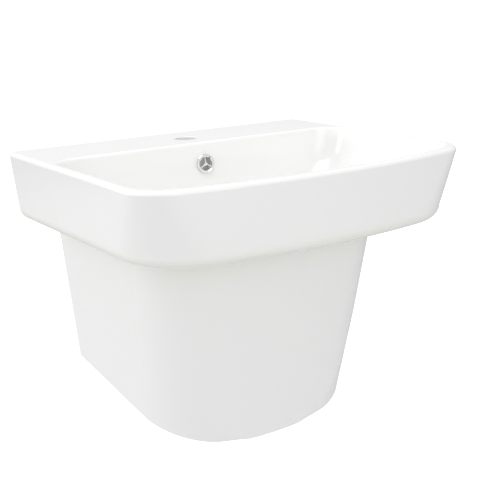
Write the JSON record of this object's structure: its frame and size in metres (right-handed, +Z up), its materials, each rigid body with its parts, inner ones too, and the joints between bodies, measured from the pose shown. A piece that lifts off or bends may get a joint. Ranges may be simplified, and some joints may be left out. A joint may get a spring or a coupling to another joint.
{
  "type": "wall-hung washbasin with half pedestal",
  "caption": "White one-piece ceramic washbasin with half pedestal, hung on the wall, with pop-up waste, bottle trap and wall fixings.",
  "frame": {"origin": "on the back face of the basin, at the wall, midway between the two hanger bolts", "axes": "+Y points into the wall, +Z up, the front looks towards -Y and +X is to the right of someone standing in front"},
  "size_m": [0.5, 0.45, 0.41],
  "materials": {
    "glaze": "gloss",
    "chrome": "polished",
    "brass": "plain",
    "zinc": "zinc plated",
    "spring_steel": "bright",
    "rubber": "matt",
    "nylon": "satin"
  },
  "bodies": {
    "basin": {"ceramic_body": "glaze", "overflow_ring": "chrome", "waste_body": "chrome", "flange_seal": "rubber", "lower_gasket": "rubber", "slip_washer": "nylon", "waste_backnut": "brass", "click_cartridge": "nylon", "plug_spring": "spring_steel", "inlet_washer": "rubber", "trap_inlet_tube": "chrome", "inlet_nut": "chrome", "trap_body": "chrome", "outlet_pipe": "chrome", "outlet_washer": "rubber", "outlet_nut": "chrome", "wall_rosette": "chrome", "hanger_bolt_left": "zinc", "bolt_sleeve_left": "nylon", "bolt_washer_left": "zinc", "bolt_nut_left": "zinc", "bolt_cap_left": "nylon", "hanger_bolt_right": "zinc", "bolt_sleeve_right": "nylon", "bolt_washer_right": "zinc", "bolt_nut_right": "zinc", "bolt_cap_right": "nylon"},
    "plug": {"plug_cap": "chrome", "plug_seal": "rubber", "plug_stem": "nylon"},
    "cup": {"trap_cup": "chrome", "cup_seal": "rubber"}
  },
  "joints": [
    {"name": "plug_slide", "type": "slide", "parent": "basin", "child": "plug", "axis": [0, 0, 1], "range_m": [-0.009, 0], "stiffness_N_per_m": 120, "springref_m": 0.012, "deforming": ["plug_spring"]},
    {"name": "cup_drop", "type": "slide", "parent": "basin", "child": "cup", "axis": [0, 0, 1], "range_m": [-0.06, 0]}
  ]
}
